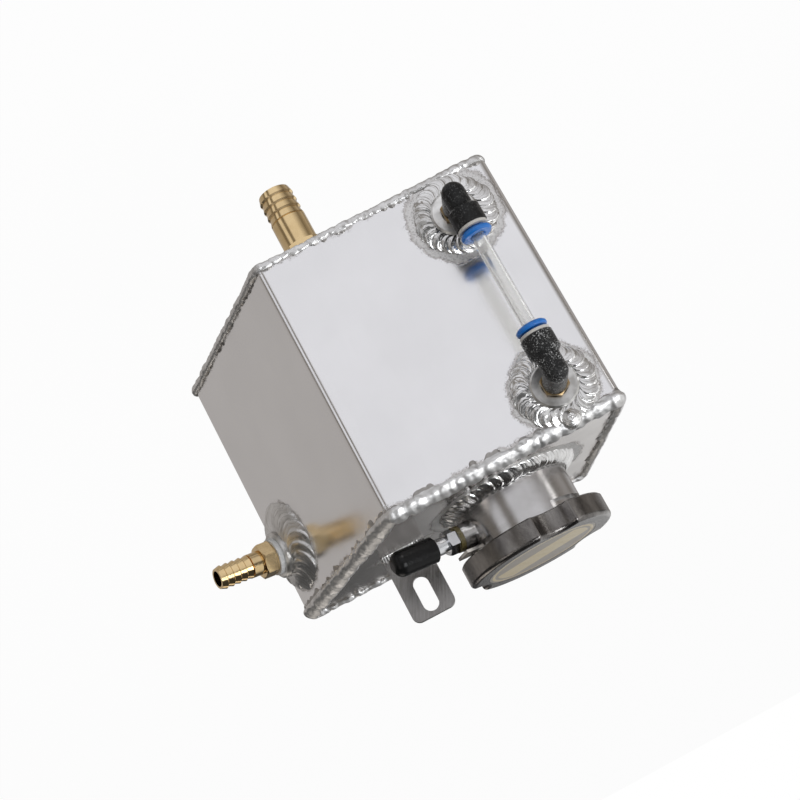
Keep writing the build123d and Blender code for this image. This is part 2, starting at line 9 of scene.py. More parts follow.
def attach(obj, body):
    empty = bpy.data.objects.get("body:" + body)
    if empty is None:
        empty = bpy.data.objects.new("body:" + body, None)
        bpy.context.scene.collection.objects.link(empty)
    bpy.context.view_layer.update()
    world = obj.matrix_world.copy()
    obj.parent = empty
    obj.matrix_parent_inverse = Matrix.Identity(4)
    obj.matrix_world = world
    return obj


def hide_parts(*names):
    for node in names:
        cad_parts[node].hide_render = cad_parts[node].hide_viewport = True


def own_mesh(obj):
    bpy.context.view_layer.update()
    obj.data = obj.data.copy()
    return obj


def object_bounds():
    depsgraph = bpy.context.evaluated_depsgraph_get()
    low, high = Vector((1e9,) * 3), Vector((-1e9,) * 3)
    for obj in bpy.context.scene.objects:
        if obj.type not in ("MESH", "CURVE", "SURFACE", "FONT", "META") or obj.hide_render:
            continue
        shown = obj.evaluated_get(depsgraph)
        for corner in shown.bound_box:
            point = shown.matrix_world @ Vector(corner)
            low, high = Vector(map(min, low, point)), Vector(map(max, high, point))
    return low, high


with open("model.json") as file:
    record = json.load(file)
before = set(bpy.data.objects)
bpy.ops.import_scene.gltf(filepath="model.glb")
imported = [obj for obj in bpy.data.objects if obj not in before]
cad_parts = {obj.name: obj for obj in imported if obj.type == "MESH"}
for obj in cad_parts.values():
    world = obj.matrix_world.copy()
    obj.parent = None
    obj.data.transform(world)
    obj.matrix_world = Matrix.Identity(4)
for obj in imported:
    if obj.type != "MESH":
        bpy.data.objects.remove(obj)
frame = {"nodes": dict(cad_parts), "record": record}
cad_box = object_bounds()
nodes = frame["nodes"]
random.seed(7)

# The tank is set out in millimetres from the front, bottom, left corner of its sheet.
MM = 0.001
BRACKET = Vector((104.6, 61.5, 143.0))
TANK_HEIGHT = 121.5
PLAN = ((0, 0), (106, 0), (156.5, 104), (12, 104))
NECK = (54.2, 47.5)
GAUGE_X, GAUGE_LOW, GAUGE_HIGH = 23.0, 19.7, 103.7
INLET = (148.6, 87.6, 92.9)
INLET_OUT = Vector((0.8995, -0.4368, 0))
INLET_ALONG = Vector((0.4368, 0.8995, 0))
OUTLET = (82.6, 32.0)
CAP_TOP = 153
REAR_SEAM = ((PLAN[2][0] + PLAN[3][0]) / 2, 103.7)


def at(x, y, z):
    """A point of the tank, from its corner in millimetres to the part's own frame in metres."""
    return (Vector((x, y, z)) - BRACKET) * MM


# Finishes

def new_finish(name, **sockets):
    """A material with its shader's plain values set, its node tree and that shader."""
    material = bpy.data.materials.new(name)
    material.use_nodes = True
    tree = material.node_tree
    shader = tree.nodes["Principled BSDF"]
    for socket, value in sockets.items():
        shader.inputs[socket.replace("_", " ")].default_value = value
    return material, tree, shader


def feed(tree, socket, source):
    """Sets a node input from a plain value or joins it to another node's output."""
    if isinstance(source, bpy.types.NodeSocket):
        tree.links.new(source, socket)
    else:
        socket.default_value = source


def place(tree, stretch=(1, 1, 1), centre=(0, 0, 0), turn=(0, 0, 0)):
    """Object coordinates, moved to a centre and stretched."""
    coords = tree.nodes.new("ShaderNodeTexCoord").outputs["Object"]
    mapping = tree.nodes.new("ShaderNodeMapping")
    mapping.vector_type = "TEXTURE"
    mapping.inputs["Location"].default_value = centre
    mapping.inputs["Rotation"].default_value = turn
    mapping.inputs["Scale"].default_value = stretch
    tree.links.new(coords, mapping.inputs["Vector"])
    return mapping.outputs["Vector"]


def noise(tree, vector, scale, detail=3, roughness=0.55):
    """A cloudy value from 0 to 1, finer with a larger scale."""
    node = tree.nodes.new("ShaderNodeTexNoise")
    settings = {"Vector": vector, "Scale": scale, "Detail": detail, "Roughness": roughness}
    for socket, source in settings.items():
        feed(tree, node.inputs[socket], source)
    return node.outputs["Fac"]


def cells(tree, vector, scale):
    """Rounded cells: the distance from the nearest of many scattered points."""
    node = tree.nodes.new("ShaderNodeTexVoronoi")
    node.feature = "SMOOTH_F1"
    feed(tree, node.inputs["Vector"], vector)
    feed(tree, node.inputs["Scale"], scale)
    return node.outputs["Distance"]


def spread(tree, value, low, high, to_low=0.0, to_high=1.0):
    """Maps a range of a value onto another range, and stops at its ends."""
    node = tree.nodes.new("ShaderNodeMapRange")
    for index, source in enumerate((value, low, high, to_low, to_high)):
        feed(tree, node.inputs[index], source)
    return node.outputs[0]


def sums(tree, operation, first, second=0.0, third=0.0):
    """One step of arithmetic on up to three values."""
    node = tree.nodes.new("ShaderNodeMath")
    node.operation = operation
    for index, source in enumerate((first, second, third)):
        feed(tree, node.inputs[index], source)
    return node.outputs[0]


def tint(tree, factor, first, second):
    """A colour between two colours."""
    node = tree.nodes.new("ShaderNodeMix")
    node.data_type = "RGBA"
    feed(tree, node.inputs["Factor"], factor)
    feed(tree, node.inputs["A"], first if isinstance(first, bpy.types.NodeSocket) else (*first, 1))
    feed(tree, node.inputs["B"], second if isinstance(second, bpy.types.NodeSocket) else (*second, 1))
    return node.outputs["Result"]


def raise_by(tree, shader, height, distance):
    """Bumps the surface by a height value, over a distance in metres."""
    node = tree.nodes.new("ShaderNodeBump")
    node.inputs["Distance"].default_value = distance
    node.inputs["Strength"].default_value = 1.0
    tree.links.new(height, node.inputs["Height"])
    tree.links.new(node.outputs["Normal"], shader.inputs["Normal"])


def dress(tree, shader, colour, roughness):
    """Gives the surface its colour and its roughness."""
    tree.links.new(colour, shader.inputs["Base Color"])
    tree.links.new(roughness, shader.inputs["Roughness"])


def along_axis(tree, vector, axis):
    """How far a position lies along an axis."""
    node = tree.nodes.new("ShaderNodeVectorMath")
    node.operation = "DOT_PRODUCT"
    node.inputs[1].default_value = axis
    tree.links.new(vector, node.inputs[0])
    return node.outputs["Value"]


def away_from(tree, point, flat=(1, 1, 1)):
    """The distance in metres from a point, with the axes that flat names as 0 left out."""
    scaled = tree.nodes.new("ShaderNodeVectorMath")
    scaled.operation = "MULTIPLY"
    scaled.inputs[1].default_value = flat
    tree.links.new(place(tree, centre=point), scaled.inputs[0])
    length = tree.nodes.new("ShaderNodeVectorMath")
    length.operation = "LENGTH"
    tree.links.new(scaled.outputs[0], length.inputs[0])
    return length.outputs["Value"]


def closest(tree, distances):
    """The smallest of several (distance, reach in mm) pairs, each counted from its own reach."""
    nearest = None
    for distance, reach in distances:
        beyond = sums(tree, "SUBTRACT", distance, reach * MM)
        nearest = beyond if nearest is None else sums(tree, "MINIMUM", nearest, beyond)
    return nearest


def etched_sheet(name, heat_sources, clean, rough):
    """Rolled aluminium sheet that is matt, pale and speckled round its welds.

    heat_sources takes the node tree and gives (distance, reach) pairs.
    """
    material, tree, shader = new_finish(name, Metallic=1.0)
    wander = sums(tree, "SUBTRACT", noise(tree, place(tree), 150), 0.5)
    field = sums(tree, "MULTIPLY_ADD", wander, 6 * MM, closest(tree, heat_sources(tree)))
    frost = spread(tree, field, -0.35 * MM, 0.25 * MM, 1.0, 0.0)
    rim = spread(tree, sums(tree, "ABSOLUTE", field), 0.0, 0.8 * MM, 0.45, 0.0)
    grit = noise(tree, place(tree), 1500, 3, 0.7)
    near_weld = spread(tree, field, 0.0, 1.6 * MM, 0.6, 0.0)
    soot_and_shade = sums(tree, "MULTIPLY", spread(tree, grit, 0.50, 0.62), near_weld)
    drawn = noise(tree, place(tree, (1, 1, 26)), 1100, 3)
    mottle = noise(tree, place(tree), 24, 3)
    base = tint(tree, drawn, tuple(0.965 * c for c in clean), clean)
    base = tint(tree, spread(tree, mottle, 0.35, 0.7, 0.0, 0.35), base, tuple(0.86 * c for c in clean))
    etched = tint(tree, spread(tree, grit, 0.35, 0.65), (0.66, 0.65, 0.635), (0.81, 0.80, 0.79))
    base = tint(tree, frost, base, etched)
    base = tint(tree, rim, base, (0.24, 0.205, 0.175))
    base = tint(tree, soot_and_shade, base, (0.22, 0.21, 0.20))
    plain = spread(tree, noise(tree, place(tree), 60, 4), 0.3, 0.7, rough - 0.03, rough + 0.05)
    dress(tree, shader, base, sums(tree, "MULTIPLY_ADD", frost, 0.20, plain))
    lift = sums(tree, "MULTIPLY", grit, sums(tree, "MAXIMUM", frost, soot_and_shade))
    raise_by(tree, shader, sums(tree, "MULTIPLY_ADD", drawn, 0.05, lift), 0.16 * MM)
    return material


def wrap_heat(tree):
    """Where the welds heated the folded wall: its two edges, both gauge bungs and the inlet.

    Reaches are in mm from a seam's line or from a bung's middle.
    """
    up = along_axis(tree, place(tree), (0, 0, 1))
    low, high = at(0, 0, 0).z, at(0, 0, TANK_HEIGHT).z
    yield sums(tree, "SUBTRACT", up, low), 3.0
    yield sums(tree, "SUBTRACT", high, up), 4.6
    for height, reach in ((GAUGE_LOW, 20.4), (GAUGE_HIGH, 18.8)):
        yield away_from(tree, at(GAUGE_X, 0, height), (1, 0.35, 1)), reach
    yield away_from(tree, at(*(Vector(INLET) - 4.5 * INLET_ALONG))), 20.5


def inside_outline(tree):
    """How far a point lies inside each of the four edges of the plates."""
    for index, first in enumerate(PLAN):
        second = PLAN[(index + 1) % 4]
        run = (Vector(second) - Vector(first)).normalized()
        yield along_axis(tree, place(tree, centre=at(*first, 0)), (-run.y, run.x, 0))


def plate_heat(tree):
    """Where the welds heated the two flat plates: their outline, the neck, the outlet and the tab."""
    for edge in inside_outline(tree):
        yield edge, 4.5
    yield away_from(tree, at(*NECK, TANK_HEIGHT)), 36
    yield away_from(tree, at(*OUTLET, 0)), 22
    yield away_from(tree, at(BRACKET.x, BRACKET.y, TANK_HEIGHT), (0.5, 1.3, 1)), 7


def skin_of_weld(tree, shader, ridge, depth, matt=0.32, gloss=0.16, soot_and_shade=0.5):
    """Colour, gloss and bump of weld metal over a ripple height, with painted shade in its hollows."""
    patch = noise(tree, place(tree), 170, 4, 0.6)
    cast = noise(tree, place(tree), 900, 4, 0.65)
    shade = tint(tree, patch, (0.52, 0.51, 0.495), (0.90, 0.90, 0.90))
    # Painted shade: the low hollows of the ripples are mixed towards a dark colour, most at the lowest.
    shade = tint(tree, spread(tree, ridge, 0.0, 0.3, soot_and_shade, 0.0), shade, (0.23, 0.21, 0.19))
    dress(tree, shader, shade, spread(tree, patch, 0.35, 0.65, matt, gloss))
    raise_by(tree, shader, sums(tree, "MULTIPLY_ADD", cast, 0.35, ridge), depth * MM)


def seam_finish(name, level, toe, depth, scale):
    """Rough weld metal of a plate's edge: pale lumps, and a line of painted shade along its toe on both
    sheets.

    toe is how far in mm the toes lie from the edge at this level.
    """
    material, tree, shader = new_finish(name, Metallic=1.0)
    crease = cells(tree, place(tree), scale)
    ridge = spread(tree, crease, 0.15, 0.75, 0.85, 0.3)
    inward = None
    for edge in inside_outline(tree):
        inward = edge if inward is None else sums(tree, "MINIMUM", inward, edge)
    rise = sums(tree, "ABSOLUTE", along_axis(tree, place(tree, centre=at(0, 0, level)), (0, 0, 1)))
    wander = sums(tree, "SUBTRACT", noise(tree, place(tree), 260, 3), 0.5)
    reach = sums(tree, "MULTIPLY_ADD", wander, 1.8 * MM, sums(tree, "MAXIMUM", inward, rise))
    # Painted shade along the toe: this is 1 on the bead and falls to 0 at its toe, where skin_of_weld darkens
    # it by 0.7.
    clear_of_toe_shade = spread(tree, reach, (toe - 0.35) * MM, (toe + 0.1) * MM, 1.0, 0.0)
    skin_of_weld(tree, shader, sums(tree, "MULTIPLY", ridge, clear_of_toe_shade), depth, 0.52, 0.40, 0.7)
    return material


def crescents(tree, phase):
    """Ripples that rise slowly and drop sharply, one for each whole step of the phase."""
    return sums(tree, "SINE", sums(tree, "MULTIPLY", sums(tree, "FRACT", phase), 2.4))


def ripple_finish(name, centre, along, up, inner, width, count, bow,
                  flip=1, depth=0.2, matt=0.26, gloss=0.13):
    """Weld metal with fine crescent ripples round a bung or the neck.

    along and up span the plate; count ripples go round, each bowed by bow ripples at its middle.
    """
    material, tree, shader = new_finish(name, Metallic=1.0)
    point = place(tree, centre=centre)
    first, second = along_axis(tree, point, along), along_axis(tree, point, up)
    angle = sums(tree, "ARCTAN2", second, first)
    squares = sums(tree, "ADD", sums(tree, "POWER", first, 2), sums(tree, "POWER", second, 2))
    from_middle = sums(tree, "SUBTRACT", sums(tree, "POWER", squares, 0.5), (inner + width / 2) * MM)
    across = sums(tree, "DIVIDE", from_middle, width / 2 * MM)
    under_arch = sums(tree, "SUBTRACT", 1.0, sums(tree, "POWER", across, 2))
    arch = sums(tree, "POWER", sums(tree, "MAXIMUM", under_arch, 0.0), 0.5)
    turns = sums(tree, "MULTIPLY", angle, flip * count / (2 * math.pi))
    sway = sums(tree, "MULTIPLY", noise(tree, place(tree), 110, 3), 2.6)
    phase = sums(tree, "ADD", sums(tree, "MULTIPLY_ADD", arch, -bow, turns), sway)
    strength = spread(tree, noise(tree, place(tree), 75, 2), 0.35, 0.6, 0.35, 1.0)
    skin_of_weld(tree, shader, sums(tree, "MULTIPLY", crescents(tree, phase), strength), depth, matt, gloss)
    return material


def crater_finish(centre):
    """Weld metal of the last blob, where the torch was lifted: a smooth dome with a pitted dimple."""
    material, tree, shader = new_finish("weld crater", Metallic=1.0)
    radius = away_from(tree, centre, (1, 0, 1))
    grain = noise(tree, place(tree), 1400, 3)
    dimple = spread(tree, sums(tree, "MULTIPLY_ADD", grain, 1.2 * MM, radius), 1.2 * MM, 2.1 * MM)
    skin_of_weld(tree, shader, sums(tree, "MULTIPLY_ADD", dimple, 0.8, 0.2), 0.6)
    return material


def bar_finish(name, along, pitch):
    """Weld metal with ripples along a straight run, pitch mm apart."""
    material, tree, shader = new_finish(name, Metallic=1.0)
    sway = sums(tree, "MULTIPLY", noise(tree, place(tree), 120, 3), 2.4)
    steps = sums(tree, "MULTIPLY_ADD", along_axis(tree, place(tree), along), 1 / (pitch * MM), sway)
    skin_of_weld(tree, shader, crescents(tree, steps), 0.15)
    return material


def turned_finish(name, light, dark, rough, centre, blotch=0.0):
    """Metal from a lathe, with fine rings across its upright axis, more blotched as blotch nears a half."""
    material, tree, shader = new_finish(name, Metallic=1.0)
    rings = noise(tree, place(tree, (60, 60, 1), centre), 2600)
    cloud = spread(tree, noise(tree, place(tree), 120), blotch, 1 - blotch)
    roughness = spread(tree, rings, 0.3, 0.7, rough - 0.04, rough + 0.05)
    dress(tree, shader, tint(tree, cloud, dark, light), roughness)
    raise_by(tree, shader, rings, 0.025 * MM)
    return material


def moulded_finish(name, colour, lighter, rough, scale, depth, fleck=0.0, gleam=0.5):
    """Moulded plastic or rubber: a fine pebbled skin, with pale flecks where asked."""
    material, tree, shader = new_finish(name, Specular_IOR_Level=gleam)
    pebble = noise(tree, place(tree), scale, 3)
    cloud = noise(tree, place(tree), scale * 0.4, 4)
    scuffed = spread(tree, noise(tree, place(tree), 130, 2), 0.42, 0.56, 0.15, 1.0)
    dots = spread(tree, noise(tree, place(tree), 1500, 3, 0.7), 0.555, 0.64)
    speck = sums(tree, "MULTIPLY", sums(tree, "MULTIPLY", dots, scuffed), fleck)
    base = tint(tree, speck, tint(tree, cloud, colour, lighter), (0.75, 0.75, 0.74))
    dress(tree, shader, base, spread(tree, cloud, 0.3, 0.7, rough - 0.08, rough + 0.08))
    raise_by(tree, shader, pebble, depth * MM)
    return material


def clear_finish():
    """Clear plastic tube, slightly milky, with faint drawing lines along it."""
    material, tree, shader = new_finish("clear tube", Transmission_Weight=0.93, IOR=1.4)
    lines = noise(tree, place(tree, (1, 1, 60)), 700, 2)
    base = tint(tree, lines, (0.90, 0.895, 0.88), (0.97, 0.97, 0.96))
    dress(tree, shader, base, spread(tree, lines, 0.3, 0.7, 0.04, 0.10))
    return material


def tape_finish():
    """White thread tape, wound in thin overlapping turns."""
    material, tree, shader = new_finish("thread tape")
    folds = noise(tree, place(tree), 420, 4)
    base = tint(tree, folds, (0.52, 0.52, 0.52), (0.78, 0.78, 0.77))
    dress(tree, shader, base, spread(tree, folds, 0.3, 0.7, 0.35, 0.55))
    raise_by(tree, shader, folds, 0.5 * MM)
    return material


def label_finish():
    """The printed disc on the cap: a cream border, a grey field and a broad cream band."""
    material, tree, shader = new_finish("cap label", Coat_Weight=0.3, Coat_Roughness=0.2)
    middle_of_cap = at(*NECK, CAP_TOP)
    radius = away_from(tree, middle_of_cap, (1, 1, 0))
    from_border = sums(tree, "ABSOLUTE", sums(tree, "SUBTRACT", radius, 23.2 * MM))
    border = spread(tree, from_border, 0.55 * MM, 0.75 * MM, 1.0, 0.0)
    turned_place = place(tree, centre=middle_of_cap, turn=(0, 0, math.radians(25)))
    side = sums(tree, "ABSOLUTE", along_axis(tree, turned_place, (0, 1, 0)))
    inside = spread(tree, radius, 21.0 * MM, 21.3 * MM, 1.0, 0.0)
    band = sums(tree, "MULTIPLY", spread(tree, side, 8.6 * MM, 8.8 * MM, 1.0, 0.0), inside)
    print_grain = noise(tree, place(tree), 700, 4)
    scuff = noise(tree, place(tree, (1, 6, 1), turn=(0, 0, 0.6)), 300, 4)
    cream = tint(tree, print_grain, (0.50, 0.41, 0.25), (0.66, 0.57, 0.38))
    grey = tint(tree, scuff, (0.22, 0.195, 0.165), (0.40, 0.36, 0.31))
    printed = sums(tree, "MAXIMUM", border, band)
    dress(tree, shader, tint(tree, printed, grey, cream), spread(tree, scuff, 0.3, 0.7, 0.28, 0.5))
    raise_by(tree, shader, printed, 0.05 * MM)
    return material


def cap_finish():
    """Cast and dark plated metal with a fine sand grain and worn patches."""
    material, tree, shader = new_finish("dark cast metal", Metallic=1.0)
    sand = noise(tree, place(tree), 1700, 3, 0.7)
    cloud = noise(tree, place(tree, (1, 1, 2.5)), 95, 5, 0.65)
    base = tint(tree, spread(tree, cloud, 0.35, 0.68), (0.10, 0.093, 0.09), (0.30, 0.285, 0.27))
    dress(tree, shader, base, spread(tree, cloud, 0.3, 0.7, 0.13, 0.24))
    raise_by(tree, shader, sand, 0.07 * MM)
    return material


def bracket_finish():
    """Dark sheet of the bracket tab, brushed in one direction."""
    material, tree, shader = new_finish("brushed bracket sheet", Metallic=1.0)
    brushed = noise(tree, place(tree, (1, 1, 14), turn=(0, 0.5, 0)), 1300, 4)
    cloud = noise(tree, place(tree), 150, 4)
    base = tint(tree, cloud, (0.17, 0.16, 0.155), (0.30, 0.29, 0.28))
    base = tint(tree, spread(tree, brushed, 0.35, 0.65, 0.0, 0.45), base, (0.44, 0.43, 0.42))
    dress(tree, shader, base, spread(tree, brushed, 0.3, 0.7, 0.26, 0.42))
    raise_by(tree, shader, brushed, 0.06 * MM)
    return material


neck_centre = at(*NECK, TANK_HEIGHT)
SHEET = etched_sheet("aluminium sheet", wrap_heat, (0.815, 0.81, 0.815), 0.17)
# Painted shade: the plates take a darker, warmer sheet colour for the shade that falls on the top plate.
SHADED_PLATE = etched_sheet("aluminium plate darkened as shade", plate_heat, (0.73, 0.70, 0.68), 0.2)
BRACKET_SHEET = bracket_finish()
TOP_SEAM = seam_finish("top seam metal", TANK_HEIGHT, 4.5, 0.13, 560)
BOTTOM_SEAM = seam_finish("bottom seam metal", 0, 3.3, 0.08, 420)
TURNED = turned_finish("turned aluminium", (0.62, 0.61, 0.61), (0.42, 0.41, 0.40), 0.2, neck_centre)
FACED = turned_finish("faced aluminium", (0.82, 0.815, 0.80), (0.42, 0.41, 0.39), 0.33, neck_centre, 0.36)
BRASS = turned_finish("turned brass", (0.90, 0.70, 0.41), (0.60, 0.43, 0.21), 0.13, at(*OUTLET, 0))
# Painted shade: a darker copy of the brass for the elbow studs, which sit in shade under the elbows.
SHADED_BRASS = turned_finish("brass darkened as shade", (0.38, 0.28, 0.15), (0.16, 0.11, 0.06), 0.3, neck_centre)
STEEL = turned_finish("pressed steel", (0.62, 0.60, 0.57), (0.44, 0.42, 0.40), 0.24, neck_centre)
ZINC = turned_finish("zinc plate", (0.84, 0.85, 0.87), (0.66, 0.67, 0.69), 0.13, neck_centre)
CAP_METAL = cap_finish()
LABEL = label_finish()
BLACK_LOWER = moulded_finish(
    "black moulded plastic", (0.008, 0.008, 0.008), (0.022, 0.022, 0.022), 0.24, 900, 0.12, 0.1, 0.14,
)
BLACK_UPPER = moulded_finish(
    "flecked black plastic", (0.007, 0.007, 0.007), (0.03, 0.03, 0.03), 0.24, 1100, 0.35, 0.8, 0.16,
)
BLUE = moulded_finish("blue plastic", (0.008, 0.10, 0.40), (0.015, 0.20, 0.62), 0.3, 500, 0.1)
PALE = moulded_finish("pale plastic", (0.46, 0.44, 0.41), (0.62, 0.60, 0.56), 0.35, 600, 0.1)
RUBBER = moulded_finish(
    "black rubber", (0.005, 0.005, 0.005), (0.012, 0.012, 0.012), 0.17, 1000, 0.08, gleam=0.16,
)
SEALANT = moulded_finish("thread sealant", (0.07, 0.055, 0.018), (0.16, 0.13, 0.055), 0.3, 500, 0.3)
CLEAR = clear_finish()
TAPE = tape_finish()

BY_SLOT = {
    "sheet": SHEET, "weld": TOP_SEAM, "machined": FACED, "brass": BRASS, "black_plastic": BLACK_LOWER,
    "pale_plastic": PALE, "blue_plastic": BLUE, "clear_plastic": CLEAR, "white_tape": TAPE, "rubber": RUBBER,
    "sealant": SEALANT, "steel": STEEL, "zinc": ZINC, "cap_metal": CAP_METAL, "cap_label": LABEL,
}
for row in frame["record"]["subparts"]:
    piece = nodes[row["node"]]
    piece.data.materials.clear()
    piece.data.materials.append(BY_SLOT[row["material_slot"]])
for name, finish in (
    ("elbow_body_upper", BLACK_UPPER), ("top_plate", SHADED_PLATE), ("bottom_plate", SHADED_PLATE),
    ("bracket_tab", BRACKET_SHEET), ("filler_neck", TURNED),
    # the elbow studs take the brass darkened as painted shade
    ("elbow_stud_lower", SHADED_BRASS), ("elbow_stud_upper", SHADED_BRASS),
):
    nodes[name].data.materials[0] = finish


# Weld beads

def select_only(*pieces):
    """Selects these pieces alone, with the first as the active one."""
    bpy.ops.object.select_all(action="DESELECT")
    for piece in pieces:
        piece.select_set(True)
    bpy.context.view_layer.objects.active = pieces[0]


def pick_top(piece, least_area):
    """Goes to edit mode with only the upward faces of a piece selected, small ones left out."""
    bpy.ops.object.mode_set(mode="EDIT")
    bpy.ops.mesh.select_all(action="DESELECT")
    bpy.ops.object.mode_set(mode="OBJECT")
    for face in piece.data.polygons:
        face.select = face.normal.z > 0.9 and face.area > least_area
    bpy.ops.object.mode_set(mode="EDIT")


def weld_coin(edge, dome):
    """One ripple of a weld: a thick coin with a rounded rim and a domed top, 2 units across."""
    bpy.ops.object.select_all(action="DESELECT")
    bpy.ops.mesh.primitive_cylinder_add(vertices=26, radius=1.0, depth=0.9, location=(0, 0, -0.1))
    coin = bpy.context.object
    pick_top(coin, 0)
    bpy.ops.mesh.bevel(offset=edge, segments=3)
    pick_top(coin, 0.5)
    for step in (0.4, 0.3, 0.2, 0.1):
        bpy.ops.mesh.inset(thickness=0.2)
        bpy.ops.transform.translate(value=(0, 0, step * dome))
    bpy.ops.object.mode_set(mode="OBJECT")
    bpy.ops.object.transform_apply(location=True)
    return coin


SOFT_COIN, CRISP_COIN = weld_coin(0.3, 0.2), weld_coin(0.12, 0.1)


def push_lumps(bead, size):
    """Pushes a bead's skin in and out by a cloud, so that it looks cast."""
    cloud = bpy.data.textures.new(bead.name + "_lumps", "CLOUDS")
    cloud.noise_scale = 1.9 * MM
    cloud.noise_depth = 2
    push = bead.modifiers.new("lumps", "DISPLACE")
    push.texture = cloud
    push.texture_coords = "LOCAL"
    push.strength = size * MM
    push.mid_level = 0.5
    bpy.ops.object.modifier_apply(modifier="lumps")


def lay_bead(name, stations, stands_for, finish, grain, melt, lumps=0.0, coin=CRISP_COIN):
    """Lays ripples along a path, melts them into one skin, and gives the bead its place.

    A station is (point, forward direction, outward direction, half width, height, tilt in degrees).
    grain is the skin's fineness and lumps its roughness, in mm. melt is how often it is smoothed.
    """
    ripples = []
    for point, forward, out, half, rise, tilt in stations:
        side = forward.cross(out).normalized()
        forward = out.cross(side).normalized()
        stand = Matrix((forward, -side, out)).transposed().to_4x4()
        stand.translation = point
        lean = Matrix.Rotation(math.radians(tilt), 4, "Y")
        ripple = coin.copy()
        ripple.data = coin.data.copy()
        ripple.data.transform(stand @ lean @ Matrix.Diagonal((half, half, rise, 1)))
        bpy.context.collection.objects.link(ripple)
        ripples.append(ripple)
    select_only(*ripples)
    bpy.ops.object.join()
    bead = bpy.context.object
    bead.name = name
    remesh = bead.modifiers.new("melt", "REMESH")
    remesh.mode = "VOXEL"
    remesh.voxel_size = grain * MM
    bpy.ops.object.modifier_apply(modifier="melt")
    if lumps:
        push_lumps(bead, lumps)
    soften = bead.modifiers.new("soften", "SMOOTH")
    soften.factor = 0.5
    soften.iterations = melt
    bpy.ops.object.modifier_apply(modifier="soften")
    for vertex in bead.data.vertices:
        vertex.co = [min(max(c, low), high) for c, low, high in zip(vertex.co, *cad_box)]
    bpy.ops.object.shade_smooth()
    bead.data.materials.clear()
    bead.data.materials.append(finish)
    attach(bead, "tank")
    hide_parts(*stands_for)


X, Y, Z = Vector((1, 0, 0)), Vector((0, 1, 0)), Vector((0, 0, 1))


def ring_stations(centre, along, up, out, inner, width, count, rise,
                  swell=0.0, toward=0.0, lean=0.2, flip=1, step=5):
    """Ripples round a bung or the neck. along and up span the plate, out stands on it.

    inner, width and rise are in mm. The ring swells on its side toward that angle in degrees, leans
    outward, and each ripple overlaps the one before it by a tilt of about step degrees.
    """
    stations = []
    for i in range(count):
        angle = 2 * math.pi * i / count * flip + random.uniform(-0.3, 0.3) / count
        grown = width * (1 + swell * math.cos(angle - math.radians(toward)) + random.uniform(-0.07, 0.07))
        radial = along * math.cos(angle) + up * math.sin(angle)
        forward = (up * math.cos(angle) - along * math.sin(angle)) * flip
        point = centre + (radial * (inner + grown * 0.47) + out * rise * 0.3) * MM
        normal = (out + radial * (lean + random.uniform(-0.11, 0.11))).normalized()
        tilt = -random.uniform(0.65, 1.35) * step
        stations.append((point, forward, normal, grown * 0.55 * MM, rise * 1.3 * MM, tilt))
    return stations


STRIDE = 0.25
CORNER = 4.0


def plan_walk():
    """Points a stride apart round the tank's plan, with the way forward and out, its corners rounded."""
    corners = [Vector((*point, 0)) for point in PLAN]
    walk = []
    for index, here in enumerate(corners):
        before, after = corners[index - 1], corners[(index + 1) % 4]
        arrive, leave = (here - before).normalized(), (after - here).normalized()
        turn = arrive.angle(leave)
        reach = CORNER * math.tan(turn / 2)
        middle = here - arrive * reach + Z.cross(arrive) * CORNER
        steps = int(turn * CORNER / STRIDE)
        for i in range(steps):
            forward = Matrix.Rotation(turn * i / steps, 3, "Z") @ arrive
            walk.append((middle - Z.cross(forward) * CORNER, forward))
        next_turn = leave.angle((corners[(index + 2) % 4] - after).normalized())
        run = (after - here).length - reach - CORNER * math.tan(next_turn / 2)
        steps = int(run / STRIDE)
        walk += [(here + leave * (reach + run * i / steps), leave) for i in range(steps)]
    return [(point, forward, forward.cross(Z)) for point, forward in walk]


TOE_SHARE = 0.3
TOE_UNIT = 2.1


def edge_stations(level, up, size, pitch, sunk, swell=0.0):
    """Lumps all round the seam between a plate and the folded wall, with toes on both sheets.

    Lengths are in mm. sunk is how deep the crest lies inside the sheets' corner, and swell makes the
    seam fuller on the slanting side wall. The toes grow with the seam's size, from one of TOE_UNIT.
    """
    toe_scale = size / TOE_UNIT
    stations = []
    walk = plan_walk()
    spot = 0
    while spot < len(walk):
        point, forward, outward = walk[spot]
        edge_way = (outward + Z * up).normalized()
        fuller = swell * max(0, outward.x)
        half = size * (1 + 0.3 * fuller) * random.uniform(0.75, 1.2)
        crest = point + edge_way * (fuller * 0.9 + random.uniform(-sunk - 0.35, -sunk + 0.2))
        stations.append((
            at(crest.x, crest.y, level + crest.z), forward, edge_way,
            half * MM, 2.5 * random.uniform(0.75, 1.15) * MM, random.uniform(-12, 8),
        ))
        for way, across in ((outward, -Z * up), (Z * up, -outward)):
            if random.random() < TOE_SHARE:
                toe = point + across * random.uniform(1.9, 3.4) * toe_scale - way * random.uniform(0.15, 0.45)
                stations.append((
                    at(toe.x, toe.y, level + toe.z), forward, way,
                    random.uniform(1.1, 1.9) * toe_scale * MM, random.uniform(1.1, 1.7) * MM,
                    random.uniform(-9, 5),
                ))
        spot += int(random.uniform(0.75, 1.3) * pitch / STRIDE)
    return stations


def row_stations(start, run, count, way, out, half, rise, vary, tilt):
    """Ripples in a straight row, their heights and tilts varied between two limits."""
    stations = []
    for i in range(count):
        point = at(*(start + run * i / (count - 1)))
        height = rise * random.uniform(*vary) * MM if vary else rise * MM
        stations.append((point, way, out, half * MM, height, -random.uniform(*tilt)))
    return stations


# The seams round both plates
stations = edge_stations(TANK_HEIGHT, 1, size=3.1, pitch=1.3, sunk=1.1)
lay_bead("top_seam_bead", stations, ["top_edge_weld"], TOP_SEAM, 0.43, 7, 0.4, SOFT_COIN)
stations = edge_stations(0, -1, size=2.1, pitch=1.1, sunk=1.4, swell=1.0)
lay_bead("bottom_seam_bead", stations, ["bottom_edge_weld"], BOTTOM_SEAM, 0.4, 6, 0.25, SOFT_COIN)

